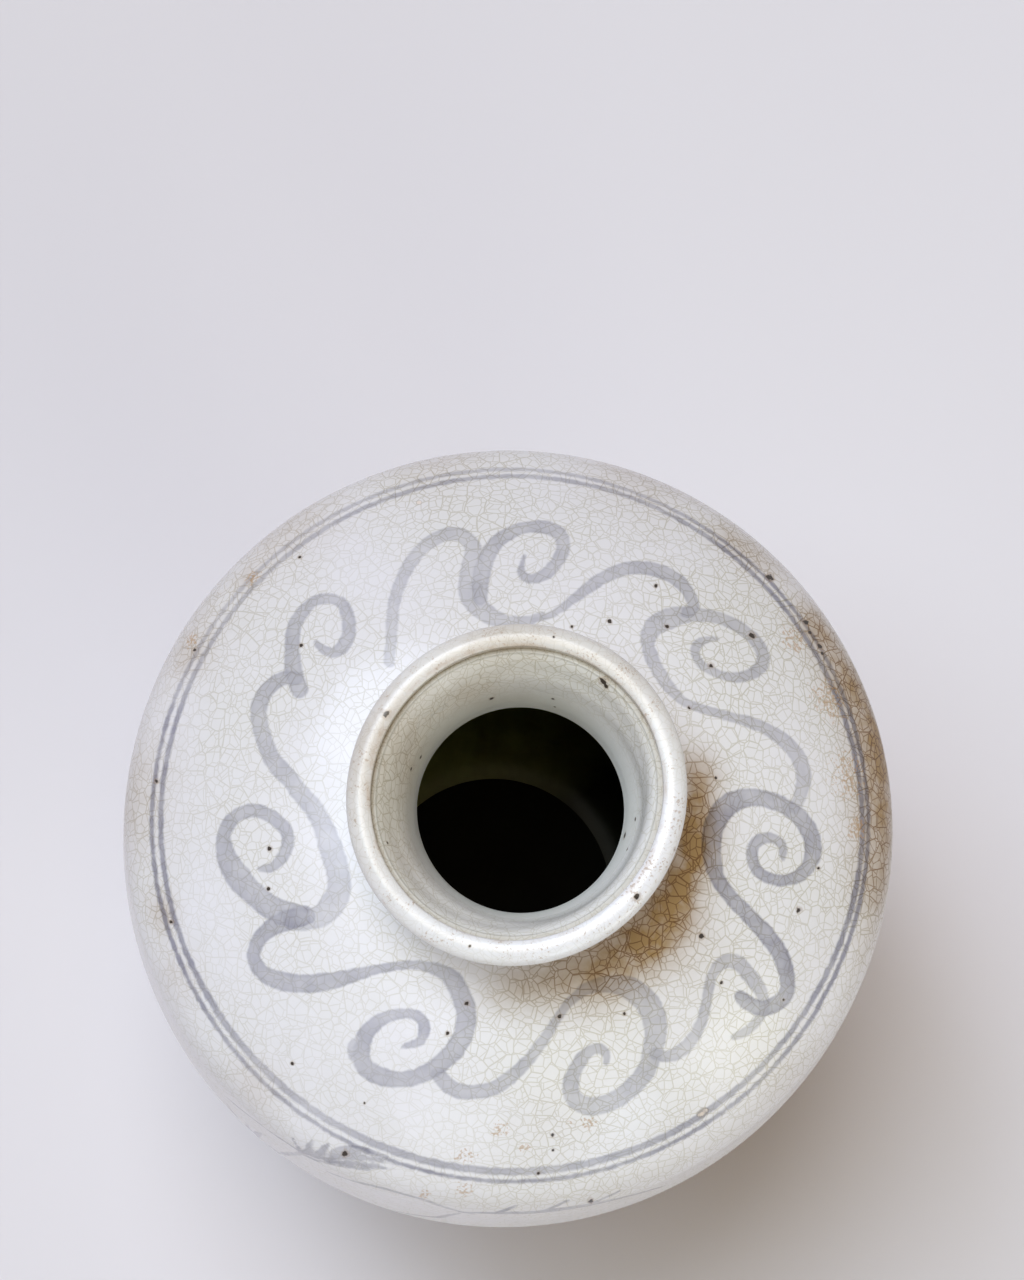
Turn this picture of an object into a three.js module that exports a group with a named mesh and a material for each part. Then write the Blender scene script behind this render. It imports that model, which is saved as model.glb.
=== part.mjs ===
// A tall shouldered porcelain jar with a short flared neck and a rolled mouth.
// Jars this wide are thrown in sections. The sections are stacked edge to edge, and each joint is
// luted with a thin layer of liquid clay, the slip, which squeezes out inside as a soft bead.
// Millimetres, +Z up, origin on the axis in the plane that the foot stands on.
import * as THREE from "three";

// Whole jar
const height = 300;
const bellyRadius = 116.5;
const bellyHeight = 160;
const facetCount = 52;

// Shoulder: a shallow dome from the neck, a tight turn, then an almost upright side.
// Angles are in degrees below level, for a profile that is followed outwards and down.
const neckDrop = 28.7; // from the mouth's crown to where the neck stands on the dome
const domeDrop = 36.1; // from the neck's foot to the start of the turn
const domeInset = 9.7; // how far inside the belly's radius the turn starts
const domeStartAngle = 11;
const domeEndAngle = 45.6;
const turnDrop = 13.7;
const turnInset = 3.3; // how far inside the belly's radius the turn ends
const turnEndAngle = 84;
const footApproachAngle = 107;

// Walls
const shoulderWall = 6.5;
const bellyWall = 7.5;
const footWall = 9.5;
const floorThickness = 6;
const floorHollow = 12; // rise and reach of the curve between the inside floor and the wall

// Foot: a turned ring under the floor
const footRadius = 61;
const footHeight = 9;
const footWidth = 8;
const footTaper = 1.2; // the ring narrows towards the table
const footChamfer = 1;

// Where the thrown sections meet, measured from the table
const lowerJointHeight = 92;
const upperJointHeight = 180;

// Slip in the joints
const slipThickness = 0.8;
const beadDepth = 1.8; // how far a bead stands into the hollow
const beadHeight = 4.4;
const beadGap = 0.3; // between a bead and the wall that it lies against

// Bore and neck
const throatRadius = 29.1;
const throatRounding = 1.6; // of the throat's lower edge
const throatAngle = 94;
const bendSpread = 5.2; // how much wider than the throat the bore is where it opens into a funnel
const bendDepth = 13; // below the mouth's crown
const bendThroatAngle = 106;
const bendFunnelAngle = 112;
const funnelAngle = 130;
const neckSeatWidth = 10.9; // from the throat to the neck's crease with the dome
const neckWaistRise = 8; // waist above the neck's foot
const neckWall = 4.4; // at the waist
const neckTopWall = 5;
const neckFlareAngle = 128;
const neckFilletAngle = 22;

// Mouth: depths are below its crown
const mouthSpread = 11.1; // how much wider than the throat the mouth is
const mouthEdgeDepth = 1.1; // the inner edge is rounded off this far down
const crownSetback = 3; // from the mouth's edge outwards to the highest line
const lipWidth = 6.7;
const rimWidestDepth = 3.6;
const rimJointDepth = 9;
const ledgeDepth = 3.4; // foot of the upright step inside the mouth
const ledgeWidth = 1.3;

// How many points each curve of a profile is drawn with
const domeSteps = 9;
const domeInsideSteps = 5;
const turnSteps = 7;
const turnInsideSteps = 5;
const sideSteps = 4;
const sideInsideSteps = 2;
const flankSteps = 11;
const flankInsideSteps = 6;
const neckSteps = 5;
const boreSteps = 4;
const rimSteps = 5;
const cornerSteps = 3;
const leastStep = 1.5; // points closer than this to a section's end are left out

const levelOut = 0;
const plumb = 90;
const levelIn = 180;

const glazed = { color: 0xdcdcd6, roughness: 0.22, metalness: 0 };
const biscuit = { color: 0xb79a78, roughness: 0.85, metalness: 0 };
const slip = { color: 0xcdbfa6, roughness: 0.9, metalness: 0 };

const neckFootRadius = throatRadius + neckSeatWidth;
const neckFootHeight = height - neckDrop;
const mouthRadius = throatRadius + mouthSpread;
const rimJointHeight = height - rimJointDepth;
const throatEdgeHeight = neckFootHeight - shoulderWall;
const floorHeight = footHeight + floorThickness;

const point = (radius, z) => new THREE.Vector2(radius, z);

// Direction of a profile that is followed outwards and falls by an angle in degrees.
function falling(angle) {
  const a = THREE.MathUtils.degToRad(angle);
  return point(Math.cos(a), -Math.sin(a));
}

// Curve between two points with a given fall at each. A third of the chord as handle is close to an arc.
function sweep(from, fromAngle, to, toAngle) {
  const reach = from.distanceTo(to) * 0.342;
  const first = from.clone().addScaledVector(falling(fromAngle), reach);
  const second = to.clone().addScaledVector(falling(toAngle), -reach);
  return new THREE.CubicBezierCurve(from, first, second, to);
}

// Quarter curve through a corner.
const rounded = (from, corner, to) => new THREE.QuadraticBezierCurve(from, corner, to).getPoints(cornerSteps);

// Wall thickness at a height: thinnest at the shoulder, thickest at the foot, which carries the rest.
function wallAt(z) {
  const { lerp, inverseLerp } = THREE.MathUtils;
  return z > bellyHeight
    ? lerp(bellyWall, shoulderWall, inverseLerp(bellyHeight, neckFootHeight, z))
    : lerp(footWall, bellyWall, inverseLerp(footHeight, bellyHeight, z));
}

// Point of the inside that lies one wall behind a place on an outside curve.
function behind(curve, share) {
  const at = curve.getPoint(share);
  const along = curve.getTangent(share);
  return at.add(point(along.y, -along.x).multiplyScalar(wallAt(at.y)));
}

// Outside and inside of the body, both falling from the neck's foot to the foot ring.
function bodyRows() {
  const neckFoot = point(neckFootRadius, neckFootHeight);
  const turnStart = point(bellyRadius - domeInset, neckFootHeight - domeDrop);
  const turnEnd = point(bellyRadius - turnInset, turnStart.y - turnDrop);
  const belly = point(bellyRadius, bellyHeight);
  const flankEnd = point(footRadius, footHeight);
  const curves = [
    [sweep(neckFoot, domeStartAngle, turnStart, domeEndAngle), domeSteps, domeInsideSteps],
    [sweep(turnStart, domeEndAngle, turnEnd, turnEndAngle), turnSteps, turnInsideSteps],
    [sweep(turnEnd, turnEndAngle, belly, plumb), sideSteps, sideInsideSteps],
    [sweep(belly, plumb, flankEnd, footApproachAngle), flankSteps, flankInsideSteps],
  ];
  const outside = [neckFoot];
  const inside = [behind(curves[0][0], 0)];
  for (const [curve, steps, insideSteps] of curves) {
    outside.push(...curve.getPoints(steps).slice(1));
    for (let i = 1; i <= insideSteps; i += 1) inside.push(behind(curve, i / insideSteps));
  }
  return [outside, inside];
}

// The bore, falling from the ledge in the mouth through the funnel to the throat's lower edge.
function boreRow() {
  const ledge = point(mouthRadius - ledgeWidth, height - ledgeDepth);
  const bend = point(throatRadius + bendSpread, height - bendDepth);
  const throat = point(throatRadius, throatEdgeHeight);
  const funnel = sweep(ledge, funnelAngle, bend, bendFunnelAngle);
  const narrowing = sweep(bend, bendThroatAngle, throat, throatAngle);
  return [...funnel.getPoints(boreSteps), ...narrowing.getPoints(boreSteps).slice(1)];
}

// The neck's outside, falling from under the rolled edge to its crease with the shoulder.
function neckRow(bore) {
  const waistHeight = neckFootHeight + neckWaistRise;
  const top = onRow(bore, rimJointHeight).add(point(neckTopWall, 0));
  const waist = onRow(bore, waistHeight).add(point(neckWall, 0));
  const foot = point(neckFootRadius, neckFootHeight);
  const flare = sweep(top, neckFlareAngle, waist, plumb);
  const fillet = sweep(waist, plumb, foot, neckFilletAngle);
  return [...flare.getPoints(neckSteps), ...fillet.getPoints(neckSteps).slice(1)];
}

// Point of a falling row at a height. Past its ends the row goes on straight.
function onRow(row, z) {
  const next = THREE.MathUtils.clamp(row.findIndex((p) => p.y <= z), 1, row.length - 1);
  const [above, below] = [row[next - 1], row[next]];
  const share = (above.y - z) / (above.y - below.y);
  return point(THREE.MathUtils.lerp(above.x, below.x, share), z);
}

// Part of a falling row between two heights, with its ends exactly on them.
function stretch(row, top, bottom) {
  const middle = row.filter((p) => p.y < top - leastStep && p.y > bottom + leastStep);
  return [onRow(row, top), ...middle, onRow(row, bottom)];
}

const [outside, inside] = bodyRows();
const bore = boreRow();
const neckOutside = neckRow(bore);

// A turned solid. Its profile goes up the outside and down the inside, and closes on itself or on the axis.
function turned(name, finish, profile) {
  const closed = profile[0].x === 0 ? profile : [...profile, profile[0]];
  const mesh = new THREE.Mesh(
    new THREE.LatheGeometry(closed, facetCount),
    new THREE.MeshStandardMaterial(finish),
  );
  mesh.rotation.x = Math.PI / 2;
  mesh.name = name;
  return mesh;
}

// A thrown section of wall between two level joints.
function section(name, outer, inner, bottom, top) {
  return turned(name, glazed, [...stretch(outer, top, bottom).reverse(), ...stretch(inner, top, bottom)]);
}

// Slip between two sections, wiped flush with the wall on both sides.
function flushSeam(name, outer, inner, bottom) {
  const top = bottom + slipThickness;
  return turned(name, slip, [onRow(outer, bottom), onRow(outer, top), onRow(inner, top), onRow(inner, bottom)]);
}

// Slip between two sections of the body, squeezed out as a bead against the inside of the wall.
function beadedSeam(name, bottom) {
  const top = bottom + slipThickness;
  const spread = (beadHeight - slipThickness) / 2;
  const off = (z, depth) => onRow(inside, z).sub(point(depth, 0));
  return turned(name, slip, [
    onRow(outside, bottom),
    onRow(outside, top),
    off(top, beadGap),
    off(top + spread, beadGap),
    off(top, beadDepth),
    off(bottom, beadDepth),
    off(bottom - spread, beadGap),
    off(bottom, beadGap),
  ]);
}

// Foot ring: narrows towards the table, with both edges of its resting face broken.
function footRing() {
  const inner = footRadius - footWidth;
  const outer = footRadius - footTaper;
  const top = footHeight - slipThickness;
  return turned("foot_ring", biscuit, [
    point(inner + footChamfer, 0),
    point(outer - footChamfer, 0),
    point(outer, footChamfer),
    point(footRadius, top),
    point(inner, top),
    point(inner, footChamfer),
  ]);
}

// Slip under the floor, squeezed out as a bead into the corner inside the foot ring.
function footSeam() {
  const bottom = footHeight - slipThickness;
  const wall = footRadius - footWidth - beadGap;
  const beadFoot = point(wall, bottom - beadDepth);
  const beadTop = point(wall - beadDepth, footHeight);
  return turned("foot_seam", slip, [
    point(footRadius, bottom),
    point(footRadius, footHeight),
    ...rounded(beadTop, point(beadTop.x, beadFoot.y), beadFoot),
    point(wall, bottom),
  ]);
}

// Lower body: the flank on a flat underside, with an inside floor that rises into the wall in a curve.
function lowerBody() {
  const wallFoot = onRow(inside, floorHeight + floorHollow);
  const corner = onRow(inside, floorHeight);
  const floorEdge = point(corner.x - floorHollow, floorHeight);
  return turned("lower_body", glazed, [
    point(0, footHeight),
    ...stretch(outside, lowerJointHeight, footHeight).reverse(),
    ...stretch(inside, lowerJointHeight, wallFoot.y),
    ...rounded(wallFoot, corner, floorEdge).slice(1),
    point(0, floorHeight),
  ]);
}

// Shoulder: the side, the turn and the dome, with a level seat for the neck round the throat's hole.
function shoulder() {
  const bottom = upperJointHeight + slipThickness;
  const throat = onRow(bore, throatEdgeHeight + throatRounding);
  const edge = point(throatRadius, throatEdgeHeight);
  const ceilingStart = point(throatRadius + throatRounding, throatEdgeHeight);
  return turned("shoulder", glazed, [
    ...stretch(outside, neckFootHeight, bottom).reverse(),
    onRow(bore, neckFootHeight),
    ...rounded(throat, edge, ceilingStart),
    ...inside.filter((p) => p.y > bottom + leastStep),
    onRow(inside, bottom),
  ]);
}

// Mouth: an edge rolled out over the neck, a rounded crown, and an upright step down to the funnel.
function mouthRim() {
  const bottom = rimJointHeight + slipThickness;
  const underside = onRow(neckOutside, bottom);
  const widest = point(mouthRadius + lipWidth, height - rimWidestDepth);
  const crown = point(mouthRadius + crownSetback, height);
  const curl = sweep(widest, plumb, underside, levelIn).getPoints(rimSteps).reverse();
  const lip = sweep(crown, levelOut, widest, plumb).getPoints(rimSteps).reverse();
  const mouth = rounded(crown, point(mouthRadius, height), point(mouthRadius, height - mouthEdgeDepth));
  return turned("mouth_rim", glazed, [
    ...curl,
    ...lip.slice(1),
    ...mouth.slice(1),
    point(mouthRadius, height - ledgeDepth),
    ...stretch(bore, height - ledgeDepth, bottom),
  ]);
}

const jar = new THREE.Group();
jar.add(
  footRing(),
  footSeam(),
  lowerBody(),
  beadedSeam("lower_seam", lowerJointHeight),
  section("middle_body", outside, inside, lowerJointHeight + slipThickness, upperJointHeight),
  beadedSeam("upper_seam", upperJointHeight),
  shoulder(),
  flushSeam("neck_seam", neckOutside, bore, neckFootHeight),
  section("neck", neckOutside, bore, neckFootHeight + slipThickness, rimJointHeight),
  flushSeam("rim_seam", neckOutside, bore, rimJointHeight),
  mouthRim(),
);

export default jar;
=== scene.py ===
"""A tall shouldered porcelain jar with a rolled mouth, crackled white glaze and grey-blue brush painting."""
from math import cos, radians, sin

import bpy
import numpy as np
from mathutils import Matrix, Vector


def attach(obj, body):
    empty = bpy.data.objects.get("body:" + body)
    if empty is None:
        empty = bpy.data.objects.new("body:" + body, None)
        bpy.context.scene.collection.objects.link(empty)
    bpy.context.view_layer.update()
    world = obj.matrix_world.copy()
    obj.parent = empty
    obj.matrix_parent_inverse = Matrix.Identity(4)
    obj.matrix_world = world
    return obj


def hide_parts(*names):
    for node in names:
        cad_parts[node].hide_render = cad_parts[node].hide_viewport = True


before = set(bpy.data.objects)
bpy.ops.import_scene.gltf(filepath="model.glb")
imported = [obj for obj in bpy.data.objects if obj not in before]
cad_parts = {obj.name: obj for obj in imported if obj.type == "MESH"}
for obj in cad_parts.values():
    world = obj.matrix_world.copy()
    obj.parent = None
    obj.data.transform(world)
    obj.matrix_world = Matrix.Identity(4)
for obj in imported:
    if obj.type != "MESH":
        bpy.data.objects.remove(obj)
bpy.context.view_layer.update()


# Camera. It looks down into the mouth from a little over a metre, ten degrees off plumb towards the
# far side, with a slight roll. It stands on the -Y side. There is no shift and no blur.
camera_place = Vector((-0.0082, -0.1272, 1.2742))
camera_off_plumb = radians(9.81)
camera_roll = radians(9.4)
picture_height_px = 1280
focal_length_px = 3600
film_mm = 36

camera_data = bpy.data.cameras.new("camera")
camera_data.sensor_width = film_mm
camera_data.lens = focal_length_px * film_mm / picture_height_px
camera_data.clip_start = 0.01
camera = bpy.data.objects.new("camera", camera_data)
bpy.context.collection.objects.link(camera)
tilt = Matrix.Rotation(camera_off_plumb, 4, "X")
roll = Matrix.Rotation(camera_roll, 4, "Z")
camera.matrix_world = Matrix.Translation(camera_place) @ tilt @ roll
bpy.context.scene.camera = camera
bpy.context.scene.view_settings.view_transform = "Standard"


# Floor and light. A pale matt floor. Soft lamps stand for a tall window at the upper left of the
# picture. Low lamps on the other side stand for a pale wall that throws the light back, cool in front
# and warm on the right. Each lamp is azimuth and angle off plumb in degrees, strength and colour.
floor_half = 4.0
lamp_spread = radians(24)
window_lamps = ((144, 36, 0.76, (0.83, 0.94, 1.165)), (180, 36, 0.19, (0.83, 0.94, 1.165)),
                (120, 18, 1.28, (0.91, 0.965, 1.045)), (180, 18, 0.53, (0.80, 1.0, 1.075)))
wall_lamps = ((270, 74, 0.18, (0.95, 1.0, 1.0)), (300, 74, 0.35, (0.86, 0.99, 1.15)),
              (330, 74, 0.46, (1.04, 1.06, 0.9)), (300, 54, 0.10, (1.1, 1.1, 0.6)),
              (0, 0, 0.25, (1.4, 1.1, 0.6)))
room_light = (0.085, 0.045, 0.018, 1)


def screen(red, green, blue):
    """A colour as it looks on a screen, 0 to 255, turned into linear light."""
    level = np.array((red, green, blue)) / 255
    linear = np.where(level <= 0.04045, level / 12.92, ((level + 0.055) / 1.055) ** 2.4)
    return (*linear.tolist(), 1.0)


def place(tree, kind, values=None, **settings):
    """A node in a tree. Settings are its properties; values fill its inputs or are linked to them."""
    node = tree.nodes.new("ShaderNode" + kind)
    for name, value in settings.items():
        setattr(node, name, value)
    for key, value in (values or {}).items():
        socket = node.inputs[key]
        if isinstance(value, bpy.types.NodeSocket):
            tree.links.new(value, socket)
        else:
            socket.default_value = value
    return node


def calc(tree, operation, *values, clamp=False):
    """The result of a Math node."""
    node = place(tree, "Math", dict(enumerate(values)), operation=operation, use_clamp=clamp)
    return node.outputs[0]


def new_material(name):
    """A material with an empty node tree, and the node that it ends in."""
    material = bpy.data.materials.new(name)
    material.use_nodes = True
    material.node_tree.nodes.clear()
    return material, material.node_tree, material.node_tree.nodes.new("ShaderNodeOutputMaterial")


def finished(tree, out, shader):
    """Joins the shader to the material's end."""
    tree.links.new(shader.outputs[0], out.inputs["Surface"])


paper_colour = screen(221, 217, 221)
room_colour = screen(220, 219, 227)
floor_mesh = bpy.data.meshes.new("floor")
corners = [(x * floor_half, y * floor_half, 0) for x, y in ((-1, -1), (1, -1), (1, 1), (-1, 1))]
floor_mesh.from_pydata(corners, [], [(0, 1, 2, 3)])
floor = bpy.data.objects.new("floor", floor_mesh)
bpy.context.collection.objects.link(floor)
floor_material, tree, out = new_material("pale_paper")
grain = place(tree, "TexNoise", {"Scale": 900.0, "Detail": 2.0})
paper_bump = place(tree, "Bump", {"Strength": 0.1, "Distance": 0.0002, "Height": grain.outputs["Fac"]})
finished(tree, out, place(tree, "BsdfPrincipled", {
    "Base Color": paper_colour, "Roughness": 0.9, "Specular IOR Level": 0.1,
    "Normal": paper_bump.outputs[0]}))
floor_mesh.materials.append(floor_material)


def hang_lamps(name, lamps):
    """Far round lamps, wide enough for soft shadows and soft glints."""
    for azimuth, off_plumb, strength, colour in lamps:
        data = bpy.data.lights.new(name, "SUN")
        data.energy = strength
        data.angle = lamp_spread
        data.color = colour
        lamp = bpy.data.objects.new(name, data)
        level = sin(radians(off_plumb))
        rise = (level * cos(radians(azimuth)), level * sin(radians(azimuth)), cos(radians(off_plumb)))
        lamp.rotation_euler = Vector(rise).to_track_quat("Z", "Y").to_euler()
        bpy.context.collection.objects.link(lamp)


hang_lamps("window", window_lamps)
hang_lamps("wall", wall_lamps)

room = bpy.data.worlds.new("room")
bpy.context.scene.world = room
room.use_nodes = True
tree = room.node_tree
tree.nodes.clear()
light = place(tree, "Background", {"Color": room_light, "Strength": 1.0})
backdrop = place(tree, "Background", {"Color": room_colour, "Strength": 1.0})
ray = place(tree, "LightPath")
mirrored = calc(tree, "MAXIMUM", ray.outputs["Is Glossy Ray"], ray.outputs["Is Transmission Ray"])
seen = calc(tree, "MAXIMUM", ray.outputs["Is Camera Ray"], mirrored)
both = place(tree, "MixShader", {0: seen, 1: light.outputs[0], 2: backdrop.outputs[0]})
room_end = tree.nodes.new("ShaderNodeOutputWorld")
tree.links.new(both.outputs[0], room_end.inputs["Surface"])


# Foot ring. A ring of bare stoneware turned on the wheel, narrower towards the table, its resting
# face rubbed smooth with both edges broken. It carries the whole jar.
mm = 0.001
columns = 576
foot_radius = 61
foot_height = 9
foot_width = 8
foot_taper = 1.2
foot_chamfer = 1
slip_thickness = 0.8


def spaced(row, spacing):
    """The same line with even spacing: its length is cut into equal shares."""
    row = np.asarray(row, float)
    lengths = np.concatenate([[0], np.cumsum(np.hypot(*np.diff(row, axis=0).T))])
    stations = np.linspace(0, lengths[-1], max(2, int(round(lengths[-1] / spacing)) + 1))
    return np.column_stack([np.interp(stations, lengths, row[:, k]) for k in (0, 1)])


def turned(name, parts, settle=None):
    """Solid of revolution: point (i, j) is profile point i turned by 2 pi j / columns about the axis.
    Parts are (finish, line of (radius, height) in mm); each starts where the last one ended, up the
    outside and down the inside. The profile ends where it started, or on the axis in a single point.
    Returns the object and the places of its points in mm before settling."""
    finishes = [finish for finish, _ in parts]
    row = np.vstack([parts[0][1][:1]] + [line[1:] for _, line in parts])
    steps = [len(line) - 1 for _, line in parts]
    band_finish = np.repeat(np.arange(len(parts)), steps)
    crisp = np.concatenate([[0], np.cumsum(steps)])
    capped = row[0, 0] == 0
    rings = row[1:-1] if capped else row[:-1]
    crisp = crisp[1:-1] - 1 if capped else crisp[:-1]
    count = len(rings)
    angle = 2 * np.pi * np.arange(columns) / columns
    points = np.stack([
        np.outer(rings[:, 0], np.cos(angle)), np.outer(rings[:, 0], np.sin(angle)),
        np.repeat(rings[:, 1:], columns, axis=1)], axis=2).reshape(-1, 3)
    j = np.arange(columns)
    after = (j + 1) % columns
    first = np.arange(count - 1 if capped else count)[:, None]
    second = (first + 1) % count
    quads = np.stack([
        first * columns + j, first * columns + after, second * columns + after, second * columns + j],
        axis=2).reshape(-1, 4).tolist()
    faces = quads
    face_band = np.repeat(band_finish[1:-1] if capped else band_finish, columns)
    if capped:
        start = count * columns
        end = start + 1
        last = (count - 1) * columns
        points = np.vstack([points, [(0, 0, row[0, 1]), (0, 0, row[-1, 1])]])
        faces = quads + np.column_stack([np.full(columns, start), after, j]).tolist()
        faces += np.column_stack([last + j, last + after, np.full(columns, end)]).tolist()
        face_band = np.concatenate([face_band, np.full(columns, band_finish[0]),
                                    np.full(columns, band_finish[-1])])
    mesh = bpy.data.meshes.new(name)
    shaped = points if settle is None else settle(points)
    mesh.from_pydata((shaped * mm).tolist(), [], faces)
    slots = list(dict.fromkeys(finishes))
    for finish in slots:
        mesh.materials.append(finish)
    slot_of_part = np.array([slots.index(finish) for finish in finishes], dtype=np.int32)
    mesh.polygons.foreach_set("material_index", slot_of_part[face_band])
    mesh.shade_smooth()
    ends = np.empty(len(mesh.edges) * 2, dtype=np.int32)
    mesh.edges.foreach_get("vertices", ends)
    ring_a, ring_b = (ends.reshape(-1, 2) // columns).T
    mesh.edges.foreach_set("use_edge_sharp", (ring_a == ring_b) & np.isin(ring_a, crisp))
    mesh.update()
    piece = bpy.data.objects.new(name, mesh)
    bpy.context.collection.objects.link(piece)
    return piece, points


def stands_for(piece, node):
    """The piece is shown instead of a CAD node: it hangs under the root body, and the node is hidden."""
    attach(piece, "root")
    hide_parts(node)


def noise(tree, spot, scale, detail=2.0, roughness=0.5):
    """Cloudy noise from 0 to 1, with so many waves to the metre."""
    values = {"Vector": spot, "Scale": scale, "Detail": detail, "Roughness": roughness}
    return place(tree, "TexNoise", values).outputs["Fac"]


def graded(tree, value, start, end, low=0.0, high=1.0, smooth=False):
    """Goes from low to high while the value goes from start to end, and stays there outside them."""
    limits = {"Value": value, "From Min": start, "From Max": end, "To Min": low, "To Max": high}
    curve = "SMOOTHSTEP" if smooth else "LINEAR"
    return place(tree, "MapRange", limits, interpolation_type=curve).outputs[0]


def mixed(tree, share, under, over, blend="MIX"):
    """One colour with a share of another over it."""
    colours = {"Factor": share, 6: under, 7: over}
    return place(tree, "Mix", colours, data_type="RGBA", blend_type=blend).outputs[2]


def vector_calc(tree, operation, *values):
    """The result of a Vector Math node: a number for a length, a distance or a dot product."""
    node = place(tree, "VectorMath", dict(enumerate(values)), operation=operation)
    return node.outputs["Value" if operation in ("LENGTH", "DISTANCE", "DOT_PRODUCT") else "Vector"]


def from_above(tree, spot):
    """A place seen from above: its height is left out."""
    return vector_calc(tree, "MULTIPLY", spot, (1, 1, 0))


def off_axis(tree, spot):
    """How far a place lies from the jar's axis, in metres."""
    return vector_calc(tree, "LENGTH", from_above(tree, spot))


def coated(tree, out, colour, rough, relief, more):
    """Ends a material with its colour, roughness and relief in mm, and with more values by name."""
    bump = place(tree, "Bump", {"Strength": 1.0, "Distance": mm, "Height": relief})
    values = {"Base Color": colour, "Roughness": rough, "Normal": bump.outputs[0], **more}
    finished(tree, out, place(tree, "BsdfPrincipled", values))


def bare_clay(name, pale, dark, rings_per_mm):
    """Fired clay without glaze: grit, iron freckles, and the fine rings that turning leaves."""
    material, tree, out = new_material(name)
    spot = place(tree, "TexCoord").outputs["Object"]
    patches = noise(tree, spot, 70.0, 4.0)
    grit = noise(tree, spot, 1600.0, 3.0, 0.7)
    freckle = place(tree, "TexVoronoi", {"Vector": spot, "Scale": 520.0}).outputs["Distance"]
    freckles = graded(tree, freckle, 0.12, 0.24, 0.6, 0.0)
    turning = calc(tree, "SINE", calc(tree, "MULTIPLY", off_axis(tree, spot), rings_per_mm * 2 * np.pi / mm))
    colour = mixed(tree, freckles, mixed(tree, patches, dark, pale), screen(96, 66, 44))
    rough = graded(tree, patches, 0.0, 1.0, 0.75, 0.92)
    relief = calc(tree, "ADD", calc(tree, "MULTIPLY", grit, 0.12), calc(tree, "MULTIPLY", turning, 0.02))
    coated(tree, out, colour, rough, relief, {"Specular IOR Level": 0.3})
    return material


foot_clay = bare_clay("foot_clay", screen(205, 181, 148), screen(176, 142, 104), 0.9)
joint_slip = bare_clay("joint_slip", screen(206, 194, 170), screen(182, 163, 132), 0.4)

outer_edge = foot_radius - foot_taper
inner_edge = foot_radius - foot_width
ring_top = foot_height - slip_thickness
foot_ring, _ = turned("foot_ring_turned", [
    (foot_clay, spaced([(inner_edge + foot_chamfer, 0), (outer_edge - foot_chamfer, 0)], 1)),
    (foot_clay, np.array([(outer_edge - foot_chamfer, 0), (outer_edge, foot_chamfer)])),
    (foot_clay, spaced([(outer_edge, foot_chamfer), (foot_radius, ring_top)], 1)),
    (joint_slip, np.array([(foot_radius, ring_top), (inner_edge, ring_top)])),
    (foot_clay, spaced([(inner_edge, ring_top), (inner_edge, foot_chamfer)], 1)),
    (foot_clay, np.array([(inner_edge, foot_chamfer), (inner_edge + foot_chamfer, 0)])),
])
stands_for(foot_ring, "foot_ring")


# Seam under the floor. Liquid clay that lutes the foot ring to the body, squeezed out as a soft bead
# into the corner inside the ring. It is left bare like the ring.
bead_depth = 1.8
bead_height = 4.4
bead_gap = 0.3


def bend(start, corner, end, steps=9):
    """Quarter curve through a corner: the start has the share (1-u)^2 in it, the corner 2u(1-u) and
    the end u^2."""
    u = np.linspace(0, 1, steps)[:, None]
    return (1 - u) ** 2 * np.array(start) + 2 * u * (1 - u) * np.array(corner) + u ** 2 * np.array(end)


bead_wall = inner_edge - bead_gap
bead_top = (bead_wall - bead_depth, foot_height)
bead_foot = (bead_wall, ring_top - bead_depth)
foot_seam, _ = turned("foot_seam_luted", [
    (joint_slip, np.array([(foot_radius, ring_top), (foot_radius, foot_height)])),
    (joint_slip, np.array([(foot_radius, foot_height), bead_top])),
    (joint_slip, bend(bead_top, (bead_top[0], bead_foot[1]), bead_foot)),
    (joint_slip, np.array([bead_foot, (bead_wall, ring_top)])),
    (joint_slip, np.array([(bead_wall, ring_top), (foot_radius, ring_top)])),
])
stands_for(foot_seam, "foot_seam")


# Lower body. The bottom third of the wall and the floor, thrown in one piece of porcelain stoneware
# and glazed outside. The inside is painted near black, as painted shade for the dim hollow.
# The base inside the ring is bare.
neck_foot_radius = 40
neck_foot_height = 271.3
belly_radius = 116.5
belly_height = 160
turn_start = (106.8, 235.2)
turn_end = (113.2, 221.5)
dome_start_fall, dome_end_fall, turn_end_fall, foot_fall = 11, 45.6, 84, 107
floor_height = 15
floor_hollow = 12
lower_joint_height = 92
outside_spacing = 1.2
inside_spacing = 4
flat_spacing = 5
handle_share = 0.342
belly_draw = 0.25
mouth_oval = 0.8
neck_lean = (2.0, -0.4)


def sweep(start, start_fall, end, end_fall, steps=80):
    """Curve between two (radius, height) points, with its fall at both ends in degrees below level.
    It is a cubic Bezier with handles of a third of the chord, which keeps it close to an arc."""
    start, end = np.array(start, float), np.array(end, float)
    reach = handle_share * np.hypot(*(end - start))
    falls = np.radians((start_fall, end_fall))
    lead, trail = np.column_stack([np.cos(falls), -np.sin(falls)]) * reach
    u = np.linspace(0, 1, steps)[:, None]
    return (1 - u) ** 3 * start + 3 * (1 - u) ** 2 * u * (start + lead) \
        + 3 * (1 - u) * u ** 2 * (end - trail) + u ** 3 * end


def stretch(row, top, bottom):
    """Part of a falling line between two heights, with its ends exactly on them."""
    middle = row[(row[:, 1] < top) & (row[:, 1] > bottom)]
    radii = np.interp((-top, -bottom), -row[:, 1], row[:, 0])
    return np.vstack([(radii[0], top), middle, (radii[1], bottom)])


def straight(*points):
    """A line through points, as it is."""
    return np.array(points, float)


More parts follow.
